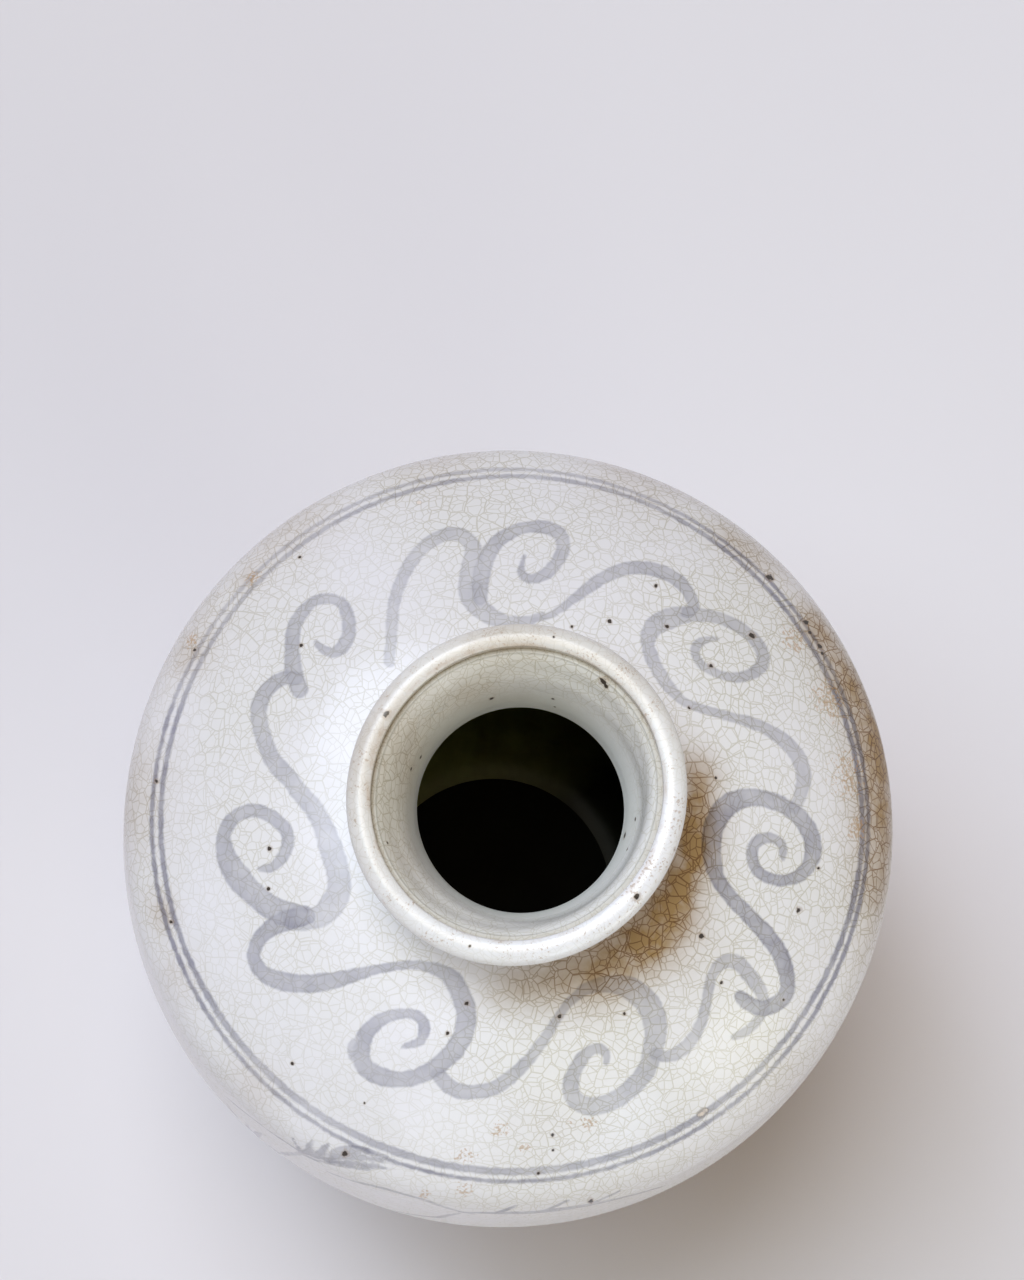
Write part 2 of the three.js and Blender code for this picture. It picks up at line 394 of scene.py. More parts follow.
outside = np.vstack([
    sweep((neck_foot_radius, neck_foot_height), dome_start_fall, turn_start, dome_end_fall),
    sweep(turn_start, dome_end_fall, turn_end, turn_end_fall)[1:],
    sweep(turn_end, turn_end_fall, (belly_radius, belly_height), 90)[1:],
    sweep((belly_radius, belly_height), 90, (foot_radius, foot_height), foot_fall)[1:],
])
# The inside lies one wall behind the outside: 9.5 mm at the foot, 7.5 at the belly, 6.5 at the neck.
wall = np.interp(outside[:, 1], (foot_height, belly_height, neck_foot_height), (9.5, 7.5, 6.5))
along = np.gradient(outside, axis=0)
along /= np.hypot(*along.T)[:, None]
inside = outside + wall[:, None] * np.column_stack([along[:, 1], -along[:, 0]])


def ease(value, start, end):
    """Smooth change from 0 at start to 1 at end: 3t^2 - 2t^3."""
    t = np.clip((value - start) / (end - start), 0, 1)
    return t * t * (3 - 2 * t)


def settled(points):
    """How the soft jar sat down, in mm: the belly draws in by up to 0.5 mm on two sides, the neck and
    the throat lean 2 mm to one side under the mouth, and the mouth is 0.8 mm out of round."""
    x, y, z = points.T
    radius = np.hypot(x, y)
    azimuth = np.arctan2(y, x)
    body = ease(z, 20, 110) * (1 - ease(z, 250, 271))
    draw = -belly_draw * body * (1 - np.cos(2 * (azimuth - radians(40))))
    oval = mouth_oval * ease(z, 284, 292) * np.cos(2 * (azimuth - radians(62)))
    grown = 1 + (draw + oval) / np.maximum(radius, 1)
    lean = ease(z, 200, 250) * (1 - ease(z, 280, 296)) * (1 - ease(radius, 40, 62))
    return np.column_stack([x * grown + neck_lean[0] * lean, y * grown + neck_lean[1] * lean, z])


def new_group(name, takes, gives):
    """An empty shader group with named inputs and outputs."""
    group = bpy.data.node_groups.new(name, "ShaderNodeTree")
    for title, kind in takes.items():
        group.interface.new_socket(title, in_out="INPUT", socket_type="NodeSocket" + kind)
    for title in gives:
        group.interface.new_socket(title, in_out="OUTPUT", socket_type="NodeSocketFloat")
    return group, group.nodes.new("NodeGroupInput").outputs, group.nodes.new("NodeGroupOutput").inputs


# Crackle: the glaze shrank more than the clay and tore into plates. The first cracks run long; the
# later ones split each plate on its own, so they stop at the first. Tea and dirt have stained them.
crackle, given, result = new_group(
    "crackle", {"Place": "Vector", "Plates per metre": "Float", "Line mm": "Float"},
    ("First", "Later", "Plate"))
drift_mm = 3.5
later_plates_share = 1.75
later_line_share = 0.9
drift = place(crackle, "TexNoise", {"Vector": given["Place"], "Scale": 55.0, "Detail": 2.0})
sideways = vector_calc(crackle, "SUBTRACT", drift.outputs["Color"], (0.5, 0.5, 0.5))
sideways = place(crackle, "VectorMath", {0: sideways, "Scale": drift_mm * mm}, operation="SCALE")
bent = vector_calc(crackle, "ADD", given["Place"], sideways.outputs[0])
half_line = calc(crackle, "MULTIPLY", given["Line mm"], 0.5 * mm)
facing = place(crackle, "NewGeometry").outputs["Normal"]


def crack_net(spot, plates):
    """Cells of a Voronoi net cut by the surface: distance to the nearest crack, measured along the
    surface, in cells, and the cell's colour. A wall between two cells that meets the surface at a
    slant reads d away along its own normal n, which is d / sqrt(1 - (n . N)^2) along the surface."""
    values = {"Vector": spot, "Scale": plates, "Randomness": 0.88}
    edge = place(crackle, "TexVoronoi", values, feature="DISTANCE_TO_EDGE").outputs["Distance"]
    own = place(crackle, "TexVoronoi", values, feature="F1")
    next_cell = place(crackle, "TexVoronoi", values, feature="F2")
    step = vector_calc(crackle, "SUBTRACT", own.outputs["Position"], next_cell.outputs["Position"])
    slant = vector_calc(crackle, "DOT_PRODUCT", vector_calc(crackle, "NORMALIZE", step), facing)
    level = calc(crackle, "MULTIPLY_ADD", slant, calc(crackle, "MULTIPLY", slant, -1.0), 1.0)
    level = calc(crackle, "SQRT", calc(crackle, "MAXIMUM", level, 0.02))
    return calc(crackle, "DIVIDE", edge, level), own.outputs["Color"]


def crack_line(title, distance, plates, width):
    """A soft line where the distance is less than half the line's width."""
    reach = calc(crackle, "MULTIPLY", calc(crackle, "MULTIPLY", half_line, plates), width)
    crackle.links.new(graded(crackle, distance, 0.0, reach, 1.0, 0.0, smooth=True), result[title])


plates = given["Plates per metre"]
later_plates = calc(crackle, "MULTIPLY", plates, later_plates_share)
first_distance, first_colour = crack_net(bent, plates)
apart = vector_calc(crackle, "ADD", first_colour, bent)
later_distance, later_colour = crack_net(apart, later_plates)
crack_line("First", first_distance, plates, 1.0)
crack_line("Later", later_distance, later_plates, later_line_share)
tint = place(crackle, "SeparateColor", {0: later_colour})
crackle.links.new(tint.outputs[0], result["Plate"])

# Brush wash: thin cobalt under the glaze. A stroke is where its reach, in mm, is over nothing. The
# edge is soft and a little uneven, the wash gathers just inside it, and it dries in faint mottles.
brush_wash, given, result = new_group(
    "brush_wash", {"Place": "Vector", "Reach mm": "Float", "Load": "Float"}, ("Amount",))
shake = noise(brush_wash, given["Place"], 420.0, 3.0)
patch = noise(brush_wash, given["Place"], 95.0, 3.0)
reach = calc(brush_wash, "ADD", given["Reach mm"], calc(brush_wash, "MULTIPLY_ADD", shake, 1.0, -0.5))
cover = graded(brush_wash, reach, -0.45, 0.45, smooth=True)
rim = graded(brush_wash, reach, 0.3, 1.3, 0.1, 0.0, smooth=True)
pool = graded(brush_wash, patch, 0.3, 0.7, 0.56, 0.88)
mottle = calc(brush_wash, "MULTIPLY_ADD", shake, 0.3, -0.15)
laid = calc(brush_wash, "ADD", calc(brush_wash, "ADD", pool, rim), mottle)
strength = calc(brush_wash, "MULTIPLY", laid, given["Load"])
brush_wash.links.new(calc(brush_wash, "MULTIPLY", cover, strength, clamp=True), result["Amount"])

# Iron speck: a grain of ore in the clay that boiled up through the glaze, near black in the middle
# with a rusty ring. Near is the distance to the closest speck, as a share of that speck's size.
iron_speck, given, result = new_group("iron_speck", {"Place": "Vector", "Near": "Float"}, ("Core", "Rust"))
ragged = noise(iron_speck, given["Place"], 750.0)
near = calc(iron_speck, "ADD", given["Near"], calc(iron_speck, "MULTIPLY_ADD", ragged, 1.6, -0.8))
for title, start, end in (("Core", 0.95, 0.6), ("Rust", 1.7, 0.9)):
    iron_speck.links.new(graded(iron_speck, near, start, end, smooth=True), result[title])

# Painted shade and light: the glaze white is drawn greyer towards this side, the back, and whiter in front.
shaded_back_side = (-0.39, 0.92, 0)
stained_side = (0.86, 0.5, 0)
cream = screen(249, 249, 244)
mist_colour = screen(208, 206, 202)
plate_colour = screen(210, 209, 200)
wash_colour = screen(166, 166, 179)
crack_colour = screen(194, 187, 157)
crack_colour_in_soil_and_shade = screen(166, 134, 88)
# Brown for dirt, and for painted shadow and shade where the stored share stands for them.
soil_and_shade_colour = screen(171, 140, 88)
rust_colour = screen(150, 118, 80)
speck_colour = screen(52, 42, 32)


def closest(tree, spot, specks):
    """Distance to the closest of the specks, as a share of its size. A speck is x, y, z and size in
    mm, or x, y and size where it is placed as seen from above."""
    nearest = None
    if len(specks[0]) == 3:
        spot = from_above(tree, spot)
        specks = [(x, y, 0, size) for x, y, size in specks]
    for *centre, size in specks:
        gap = vector_calc(tree, "DISTANCE", spot, np.array(centre) * mm)
        sized = calc(tree, "DIVIDE", gap, size / 2 * mm)
        nearest = sized if nearest is None else calc(tree, "MINIMUM", nearest, sized)
    return nearest


def glaze(name, plates_per_metre=190.0, line_mm=0.6, crack_strength=1.0, paint=None, specks=(),
          worn=None, front_white=(245, 244, 250), back_white=(233, 230, 233)):
    """Clear feldspar glaze over white clay, as a material. Its white is painted greyer at the back and
    whiter in front, as painted shade and light. Paint and worn are functions that add a piece's own
    brushwork, as wash amounts, and
    its own wear, as (share, colour) pairs. The crack strength is a number, or a function that gives
    it place by place."""
    material, tree, out = new_material(name)
    spot = place(tree, "TexCoord").outputs["Object"]
    cloud = noise(tree, spot, 26.0, 4.0)
    mist = noise(tree, spot, 240.0, 3.0)
    orange_peel = noise(tree, spot, 480.0, 1.0)
    swell = noise(tree, spot, 38.0, 1.0)
    around = vector_calc(tree, "NORMALIZE", from_above(tree, spot))
    # Painted shade and light: the white goes greyer towards the back and whiter towards the front.
    toward_shaded_back = graded(tree, vector_calc(tree, "DOT_PRODUCT", around, shaded_back_side), -1.0, 1.0)
    colour = mixed(tree, toward_shaded_back, screen(*front_white), screen(*back_white))
    colour = mixed(tree, graded(tree, cloud, 0.35, 0.7), colour, cream, "MULTIPLY")
    colour = mixed(tree, calc(tree, "MULTIPLY", mist, 0.16), colour, mist_colour)
    for wash in paint(tree, spot) if paint else ():
        colour = mixed(tree, wash, colour, wash_colour, "MULTIPLY")
    cracks = place(tree, "Group", {
        "Place": spot, "Plates per metre": plates_per_metre, "Line mm": line_mm}, node_tree=crackle).outputs
    stained = graded(tree, cloud, 0.38, 0.62, 0.24, 0.52)
    across = vector_calc(tree, "DOT_PRODUCT", spot, stained_side)
    stained = calc(tree, "ADD", stained, graded(tree, across, -60 * mm, 80 * mm, 0.0, 0.22))
    # The stored share is dirt in some places and painted shadow and shade in others; it browns the glaze and
    # darkens its crack lines.
    soil_and_shade = place(tree, "Attribute", attribute_name="soil_and_shade").outputs["Fac"]
    darker = calc(tree, "MULTIPLY_ADD", soil_and_shade, 0.8, stained)
    deepest = calc(tree, "MAXIMUM", calc(tree, "MULTIPLY", cracks["First"], 0.86),
                   calc(tree, "MULTIPLY", cracks["Later"], 0.70))
    strength = crack_strength(tree, spot) if callable(crack_strength) else crack_strength
    lines = calc(tree, "MULTIPLY", calc(tree, "MULTIPLY", deepest, darker), strength, clamp=True)
    line_tint = mixed(tree, calc(tree, "MULTIPLY", soil_and_shade, 1.4, clamp=True), crack_colour, crack_colour_in_soil_and_shade)
    colour = mixed(tree, graded(tree, cracks["Plate"], 0.0, 1.0, 0.0, 0.05), colour, plate_colour)
    colour = mixed(tree, lines, colour, line_tint, "MULTIPLY")
    soil_and_shade_share = calc(tree, "MULTIPLY", soil_and_shade, graded(tree, mist, 0.3, 0.7, 0.75, 1.15), clamp=True)
    colour = mixed(tree, soil_and_shade_share, colour, soil_and_shade_colour, "MULTIPLY")
    rough = calc(tree, "MULTIPLY_ADD", soil_and_shade_share, 0.2, graded(tree, cloud, 0.0, 1.0, 0.17, 0.30))
    for share, tone in worn(tree, spot) if worn else ():
        colour = mixed(tree, share, colour, tone)
        rough = calc(tree, "MULTIPLY_ADD", share, 0.35, rough)
    if specks:
        near = closest(tree, spot, specks)
        speck = place(tree, "Group", {"Place": spot, "Near": near}, node_tree=iron_speck).outputs
        colour = mixed(tree, calc(tree, "MULTIPLY", speck["Rust"], 0.35), colour, rust_colour)
        colour = mixed(tree, speck["Core"], colour, speck_colour)
    relief = calc(tree, "MULTIPLY_ADD", swell, 0.55, calc(tree, "MULTIPLY", orange_peel, 0.012))
    relief = calc(tree, "MULTIPLY_ADD", lines, -0.008, relief)
    coated(tree, out, colour, rough, relief, {"IOR": 1.5})
    return material


def height_of(tree, spot):
    """How high a place lies, in metres."""
    return place(tree, "SeparateXYZ", {0: spot}).outputs["Z"]


def inner_painted_shade(name, thin, thick, shine):
    """The inside: near black, painted shade for the dim hollow, with a light olive side towards -X and +Y
    as painted light, broken by runs, and with the marks of the fingers."""
    material, tree, out = new_material(name)
    spot = place(tree, "TexCoord").outputs["Object"]
    run = noise(tree, place(tree, "Mapping", {"Vector": spot, "Scale": (1, 1, 0.2)}).outputs[0], 90.0, 4.0)
    fingers = calc(tree, "SINE", calc(tree, "MULTIPLY", height_of(tree, spot), 2 * np.pi / (9 * mm)))
    beside = vector_calc(tree, "DOT_PRODUCT", spot, (-0.7, 0.7, 0))
    # Painted light on the side towards -X and +Y, where the light colour given as thin shows; the dark one is
    # painted shade.
    painted_lit_side = graded(tree, beside, 10 * mm, 70 * mm)
    share = calc(tree, "MULTIPLY", painted_lit_side, calc(tree, "ADD", run, 0.3), clamp=True)
    rough = graded(tree, run, 0.0, 1.0, 0.3, 0.55)
    relief = calc(tree, "MULTIPLY_ADD", fingers, 0.12, calc(tree, "MULTIPLY", run, 0.2))
    coated(tree, out, mixed(tree, share, thick, thin), rough, relief, {"Specular IOR Level": shine})
    return material


# Painted shade inside the jar: near-black colours for the dim hollow, with a light olive side as painted
# light.
dark_inside = inner_painted_shade("dark_inside", screen(222, 230, 146), screen(34, 36, 22), 0.3)
dark_floor = inner_painted_shade("dark_floor", screen(34, 34, 26), screen(24, 24, 20), 0.04)
base_clay = bare_clay("base_clay", screen(212, 196, 170), screen(186, 160, 126), 0.5)


def brushed(stroke, step=0.5):
    """A stroke as closely spaced points: Catmull-Rom curves through what the brush passed, every
    column alike. The last column is the width."""
    p = np.array(stroke, float)
    p = np.vstack([2 * p[0] - p[1], p, 2 * p[-1] - p[-2]])
    longest = np.linalg.norm(np.diff(p[:, :-1], axis=0), axis=1).max()
    t = np.arange(0, 1, step / longest)[None, :, None]
    a, b, c, d = (p[k:len(p) - 3 + k, None, :] for k in range(4))
    curve = 2 * b + (c - a) * t + (2 * a - 5 * b + 4 * c - d) * t ** 2 + (3 * b - 3 * c + d - a) * t ** 3
    return 0.5 * curve.reshape(-1, p.shape[1])


far_outside = -9.0


def store(piece, name, values):
    """Stores one number for each point of a piece."""
    attribute = piece.data.attributes.new(name, "FLOAT", "POINT")
    attribute.data.foreach_set("value", values.astype(np.float32))


def paint_on(piece, points, layers):
    """Stores each layer of strokes on a piece: how far inside a stroke each point lies in mm, and how
    loaded the brush was. That reach is the most, along the stroke, of half its width less the distance."""
    for number, strokes in enumerate(layers, 1):
        reach = np.full(len(points), far_outside, dtype=np.float32)
        load = np.zeros(len(points), dtype=np.float32)
        for first_load, last_load, line in strokes:
            path = line[:, :-1]
            margin = line[:, -1].max() / 2 + 2
            over = points[:, :path.shape[1]]
            inside_box = (over > path.min(axis=0) - margin) & (over < path.max(axis=0) + margin)
            close = np.flatnonzero(np.all(inside_box, axis=1))
            if len(close) == 0:
                continue
            gaps = np.linalg.norm(over[close, None, :] - path[None], axis=2).astype(np.float32)
            inward = line[:, -1] / 2 - gaps
            best = inward.argmax(axis=1)
            deepest = inward[np.arange(len(close)), best]
            won = deepest > reach[close]
            reach[close[won]] = deepest[won]
            load[close[won]] = first_load + (last_load - first_load) * best[won] / len(line)
        store(piece, f"reach_{number}", reach)
        store(piece, f"load_{number}", load)


def soil_and_shade_on(piece, points, places, creases=()):
    """Stores the dirt and painted shade on each point: a sum of soft round patches (x, y, z, radius in mm,
    strength) and of soft rings along creases (radius, height, breadth in mm, strength)."""
    soil_and_shade = np.zeros(len(points))
    for *centre, size, strength in places:
        soil_and_shade += strength * np.exp(-((points - centre) ** 2).sum(axis=1) / size ** 2)
    radius = np.hypot(points[:, 0], points[:, 1])
    for crease_radius, height, breadth, strength in creases:
        off = (radius - crease_radius) ** 2 + (points[:, 2] - height) ** 2
        soil_and_shade += strength * np.exp(-off / breadth ** 2)
    store(piece, "soil_and_shade", soil_and_shade)


def on_side(rows):
    """Stroke on the side, given as (azimuth in degrees, height, width), as points on the outside."""
    azimuth, height, width = np.array(rows, float).T
    radius = np.interp(-height, -outside[:, 1], outside[:, 0])
    turn = np.radians(azimuth)
    return np.column_stack([radius * np.cos(turn), radius * np.sin(turn), height, width])


def blade(base, tip, bow, width, steps=7):
    """A blade of grass in one stroke from base to tip, (azimuth, height), bowed sideways by a part of
    a circle: base (1-u) + tip u + bow 4u(1-u). The width swells early and ends in a point."""
    u = np.linspace(0, 1, steps)
    azimuth = base[0] + (tip[0] - base[0]) * u + bow * 4 * u * (1 - u)
    height = base[1] + (tip[1] - base[1]) * np.sin(u * np.pi / 2)
    swell = width * (0.45 + 0.75 * np.sin(np.pi * np.minimum(u + 0.12, 1)) - 0.35 * u)
    return on_side(np.column_stack([azimuth, height, swell]))


root_height = 66


def reeds(azimuth, seed, blades=11):
    """A clump of reeds on the side: blades that fan out from one root, taller in the middle."""
    dice = np.random.default_rng(seed)
    fan = np.linspace(-1, 1, blades)
    strokes = []
    for lean in fan:
        root = (azimuth + 2.5 * lean + dice.uniform(-1, 1), root_height + dice.uniform(-5, 5))
        tall = 205 - 62 * lean ** 2 + dice.uniform(-14, 10)
        tip = (azimuth + 26 * lean + dice.uniform(-3, 3), tall)
        load = dice.uniform(0.5, 0.95)
        strokes.append((load, 0.7 * load, brushed(blade(root, tip, -4 * lean, dice.uniform(2.4, 4.2)))))
    return strokes


def ground(azimuth, spread, height):
    """Ground line under a clump: one long flat stroke and two short ones beside it."""
    long = [(azimuth - spread, height, 1.2), (azimuth - spread / 2, height + 2.5, 3.2),
            (azimuth, height + 3, 3.6), (azimuth + spread / 2, height + 1.5, 2.8),
            (azimuth + spread, height - 1, 1.0)]
    short = [(azimuth - spread * 0.7, height - 6, 0.9), (azimuth - spread * 0.3, height - 4.5, 2.2),
             (azimuth + spread * 0.2, height - 6, 0.9)]
    return [(0.7, 0.5, brushed(on_side(long))), (0.6, 0.4, brushed(on_side(short)))]


clumps = (-122, -2, 118)
clump_spread = 24
first_seed = 40
side_strokes = [
    stroke for number, azimuth in enumerate(clumps) for stroke in reeds(azimuth, first_seed + number)]
# Two stalks taller than the clump: azimuth in degrees, height and width in mm. One ends in the plume
# and the other in the bent leaf that reach up to the ring lines.
tall_stalks = (
    [(-121, 70, 1.3), (-120, 110, 2.2), (-117.5, 160, 2), (-115, 200, 1.7), (-113, 223, 1.6)],
    [(-116, 70, 1.3), (-110, 110, 2.2), (-102, 150, 2.2), (-95.4, 177, 2.2), (-91.2, 192, 2.4),
     (-89.7, 205, 1.8), (-88, 216, 1.3)])
side_strokes += [(0.8, 0.75, brushed(on_side(stalk))) for stalk in tall_stalks]
side_ground = [stroke for azimuth in clumps for stroke in ground(azimuth, clump_spread, root_height)]
side_layers = (side_strokes, side_ground)
foot_line_heights = (24, 19.5)
foot_line_width = 1.4
foot_line_sway = 1.6


def painted(tree, spot, reach, load):
    """A wash where the reach, in mm, is over nothing."""
    values = {"Place": spot, "Reach mm": reach, "Load": load}
    return place(tree, "Group", values, node_tree=brush_wash).outputs[0]


def stroke_layer(tree, spot, number):
    """A wash from the reach and the load that paint_on stored for a layer."""
    reach, load = (place(tree, "Attribute", attribute_name=f"{kind}_{number}").outputs["Fac"]
                   for kind in ("reach", "load"))
    return painted(tree, spot, reach, load)


def painted_line(tree, spot, drawn, middle, half_width, load):
    """A wash along a line where the drawn measure, in metres, is near its middle, in mm. The reach is
    the half width less the distance to the middle."""
    off = calc(tree, "ABSOLUTE", calc(tree, "SUBTRACT", drawn, middle * mm))
    return painted(tree, spot, calc(tree, "MULTIPLY_ADD", off, -1 / mm, half_width), load)


def side_painting(tree, spot):
    """The reeds, and a double line above the foot with a slight sway."""
    amounts = [stroke_layer(tree, spot, number) for number in (1, 2)]
    sway = noise(tree, spot, 14.0)
    drawn = calc(tree, "MULTIPLY_ADD", sway, foot_line_sway * mm, height_of(tree, spot))
    for line_height in foot_line_heights:
        middle = line_height + foot_line_sway / 2
        amounts.append(painted_line(tree, spot, drawn, middle, foot_line_width / 2, 0.85))
    return amounts


def side_place(azimuth, height):
    """Place on the outside at an azimuth, in degrees, and a height."""
    return tuple(on_side([(azimuth, height, 0)])[0, :3])


side_specks = [(*side_place(azimuth, height), size) for azimuth, height, size in (
    (-70, 140, 1.6), (-20, 118, 1.3), (35, 60, 1.8), (80, 150, 1.2), (128, 96, 1.5), (160, 170, 1.4),
    (-160, 128, 1.7), (-118, 52, 1.2), (-45, 84, 1.1), (14, 168, 1.3))]
side_soil = [(*side_place(azimuth, height), size, strength) for azimuth, height, size, strength in (
    (-20, 178, 30, 0.35), (40, 150, 34, 0.3), (100, 60, 26, 0.35), (170, 120, 30, 0.25), (-110, 40, 26, 0.4),
    (-60, 30, 24, 0.45), (20, 24, 26, 0.45), (140, 24, 26, 0.4), (-160, 24, 22, 0.4), (72, 190, 22, 0.3))]
side_glaze = glaze("side_glaze", paint=side_painting, specks=side_specks)

wall_foot = stretch(inside, lower_joint_height, floor_height + floor_hollow)[-1]
floor_corner = stretch(inside, lower_joint_height, floor_height)[-1]
floor_edge = (floor_corner[0] - floor_hollow, floor_height)
outer_row = stretch(outside, lower_joint_height, foot_height)
inner_row = stretch(inside, lower_joint_height, floor_height + floor_hollow)
lower_body, points = turned("lower_body_glazed", [
    (base_clay, spaced([(0, foot_height), (foot_radius, foot_height)], flat_spacing)),
    (side_glaze, spaced(outer_row, outside_spacing)[::-1]),
    (joint_slip, straight(outer_row[0], inner_row[0])),
    (dark_inside, spaced(inner_row, inside_spacing)),
    (dark_inside, bend(wall_foot, floor_corner, floor_edge)),
    (dark_floor, spaced([floor_edge, (0, floor_height)], flat_spacing)),
], settled)
paint_on(lower_body, points, side_layers)
soil_and_shade_on(lower_body, points, side_soil)
stands_for(lower_body, "lower_body")


# Seam above it. The two thrown sections are luted with slip, which squeezes out inside as a bead. The
# outside is wiped and glazed over, so the joint doesn't show there.
bead_points = 13


def luted_seam(name, node, bottom):
    """Slip between two sections: a flush glazed edge outside, a half-round bead on the inside."""
    top = bottom + slip_thickness
    swell = (bead_height - slip_thickness) / 2
    u = np.linspace(-1, 1, bead_points)
    heights = (top + bottom) / 2 - u * (slip_thickness / 2 + swell)
    wall_line = np.interp(-heights, -inside[:, 1], inside[:, 0])
    bead = np.column_stack([wall_line - bead_gap - (bead_depth - bead_gap) * np.sqrt(1 - u ** 2), heights])
    outer = stretch(outside, top, bottom)
    inner_top, inner_bottom = stretch(inside, top, bottom)[[0, -1]]
    behind = (bead_gap, 0)
    seam, seam_points = turned(name, [
        (side_glaze, straight(outer[-1], outer[0])),
        (joint_slip, straight(outer[0], inner_top - behind)),
        (joint_slip, straight(inner_top - behind, bead[0])),
        (joint_slip, bead),
        (joint_slip, straight(bead[-1], inner_bottom - behind)),
        (joint_slip, straight(inner_bottom - behind, outer[-1])),
    ], settled)
    paint_on(seam, seam_points, side_layers)
    soil_and_shade_on(seam, seam_points, side_soil)
    stands_for(seam, node)


luted_seam("lower_seam_luted", "lower_seam", lower_joint_height)


# Middle body. The widest third, thrown as an open ring and set on the lower body. The brushwork on it
# runs on from the lower body.
upper_joint_height = 180
outer_row = stretch(outside, upper_joint_height, lower_joint_height + slip_thickness)
inner_row = stretch(inside, upper_joint_height, lower_joint_height + slip_thickness)
middle_body, points = turned("middle_body_glazed", [
    (side_glaze, spaced(outer_row, outside_spacing)[::-1]),
    (joint_slip, straight(outer_row[0], inner_row[0])),
    (dark_inside, spaced(inner_row, inside_spacing)),
    (joint_slip, straight(inner_row[-1], outer_row[-1])),
], settled)
paint_on(middle_body, points, side_layers)
soil_and_shade_on(middle_body, points, side_soil)
stands_for(middle_body, "middle_body")
luted_seam("upper_seam_luted", "upper_seam", upper_joint_height)


# Shoulder. The top third: an almost upright side, a tight turn and a shallow dome with a hole for the
# neck. A running scroll was brushed round the dome with a loaded round brush, inside two ring lines.
throat_radius = 29.1
throat_edge_height = 264.8
throat_rounding = 1.6
mouth_height = 300
bend_radius, bend_height = 34.3, 287
ledge_radius, ledge_height = 38.9, 296.6
dome_spacing = 1.2
# Ring lines: radius and half the width, what the half width and the brush load gain in front, what the
# load gains on the dry side, and the azimuth at which the line bends aside and by how much.
ring_lines = ((103.77, 0.65, -0.1, -0.05, -0.55, 70, 0.6), (101.04, 0.775, 0.25, -0.2, -0.4, 8, -1.1))
ring_reach = 104
ring_sway = 1.4
full_side, dry_side = 15, 105

# Scroll strokes as the brush passed them: x, y and width in mm, seen from above. Neighbours that
# cross lie in different layers, so the wash is darker where one runs over the other.
left_curl = [
    (-63.5, 38.5, 1.5), (-61, 36.5, 2.5), (-58, 35.8, 3.2), (-55.5, 38, 4), (-54.6, 42, 4),
    (-55.5, 46.5, 3.8), (-58, 51, 3.4), (-62, 52.4, 3.3), (-66, 51.5, 3.5), (-69, 48, 4), (-70.8, 43, 4.3),
    (-70.2, 36, 4.5), (-68.3, 29, 5), (-65.5, 23.5, 5)]
left_stem = [
    (-67, 27, 4), (-70, 27, 4.5), (-73.5, 25, 4.5), (-76, 21, 4.8), (-76.5, 17, 4.8), (-75, 12, 4.8),
    (-72.5, 7, 4.8), (-69, 2, 5), (-64, -2, 5), (-60, -6, 5), (-55.5, -10, 5), (-51.5, -16, 5.5),
    (-49.5, -20, 6), (-47, -25, 6), (-45.3, -30, 6), (-45.8, -35, 7), (-48, -38.5, 6.5), (-52, -40.5, 6),
    (-56, -41, 6)]
lower_left_curl = [
    (-68, -28.5, 1.5), (-64, -27, 3), (-61.2, -22, 3.5), (-62, -17, 3.5), (-66, -14, 3.8),
    (-71.5, -12.2, 3.8), (-76, -13.3, 4), (-79.3, -17, 4.3), (-79.7, -22, 4.5), (-77.5, -27, 6),
    (-74, -31, 7), (-69, -35, 6.5), (-63, -38.5, 6.5), (-57, -40, 7), (-52, -39.5, 5)]
lower_left_stem = [
    (-54, -40, 6), (-58, -41.5, 6), (-62, -44, 5), (-65, -48, 4.2), (-65.7, -52.5, 4), (-62.5, -56.5, 4.2),
    (-58, -58, 5), (-52, -58.3, 5), (-45, -57, 5), (-38, -54.5, 4), (-31, -51.5, 2.8), (-24, -49, 2.6),
    (-17, -48.3, 3.2), (-11, -50, 4.5), (-7, -54, 5.3), (-4, -59, 5.5), (-3.5, -64, 5.5), (-5, -69, 5.5),
    (-8.5, -74, 5), (-13.5, -78, 4.6), (-19, -80, 4.6), (-25, -80, 5), (-30, -77.5, 5), (-31.3, -73, 5),
    (-30, -68, 4.4), (-26, -64, 3.5), (-21, -62, 2.8), (-16.5, -62.5, 3), (-14.6, -65.5, 3.2),
    (-15.5, -69, 2.6), (-19.5, -71, 1.4)]
lower_left_spur = [(-32, -71, 3), (-34, -73, 2.2), (-34, -75.5, 1.6), (-32, -77.5, 1.4)]
bottom_stem = [
    (-9, -77, 4), (-4, -80.3, 4.3), (1, -80.5, 4), (7, -78.5, 4), (12, -74, 3.8), (16, -68.5, 3.4),
    (19, -62.5, 3), (21.5, -57, 2.6), (24, -51.5, 2.8), (28, -47, 3.8), (33, -45, 4.8), (39, -44.7, 6),
    (44.5, -47, 6.8), (48.3, -51, 7), (50, -56, 6.5), (50, -60, 6), (49.3, -66, 5.5), (46.3, -71.5, 5.2),
    (42, -76, 5), (36, -78.8, 5), (31, -78, 5), (28.7, -75, 4.6), (29, -70, 4.2), (31, -65.5, 3.5),
    (34, -62.9, 3), (36.8, -63.7, 2.5), (37.5, -66.5, 1.5)]
lower_right_stem = [
    (50.5, -61.5, 3.5), (55, -61.5, 3.5), (59, -58.5, 3.8), (61.5, -54, 3.4), (62.8, -48, 3.2),
    (62.8, -41, 3), (63.5, -36, 3.2), (66.5, -32.6, 4), (70.5, -32.6, 4.5), (74.5, -35.5, 4.5),
    (78.5, -39, 4), (80, -43, 3), (78.5, -47.5, 2.6), (75.5, -51, 2.6), (72.5, -52.8, 2)]
